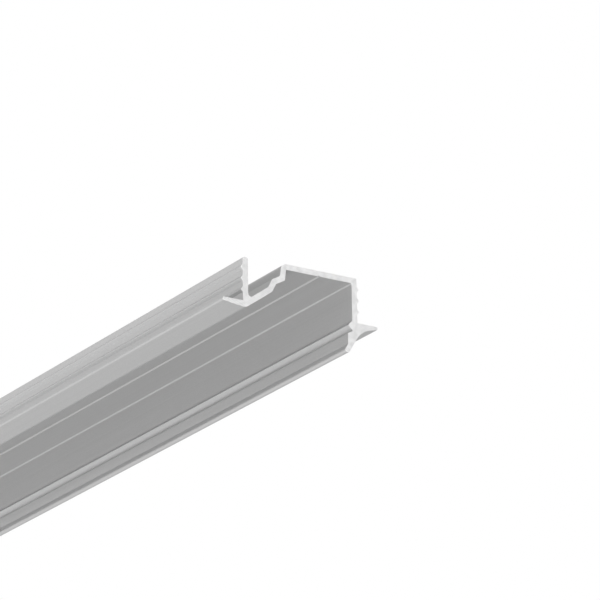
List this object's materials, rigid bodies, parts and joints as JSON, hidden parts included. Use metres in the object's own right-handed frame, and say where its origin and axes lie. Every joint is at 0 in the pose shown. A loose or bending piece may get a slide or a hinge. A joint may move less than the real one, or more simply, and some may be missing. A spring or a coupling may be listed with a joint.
{
  "type": "led strip aluminium profile",
  "caption": "Extruded aluminium profile for LED tape, let into a milled groove by barbed walls and two flanges, with a sloping side wall and a snap catch for a cover.",
  "frame": {"origin": "on the back face of the tape bed, on the centre line of the bed and at the middle of the bar's length", "axes": "+Y along the bar, +Z out of the back face into the panel, +X across the section towards the fixed wall with the cover catch. The light leaves towards -Z."},
  "size_m": [0.029, 0.25, 0.0128],
  "materials": {
    "anodised_aluminium": "satin, natural silver anodised, with fine die lines along the bar and bare saw-cut ends"
  },
  "bodies": {
    "root": {"profile": "anodised_aluminium"}
  },
  "joints": []
}
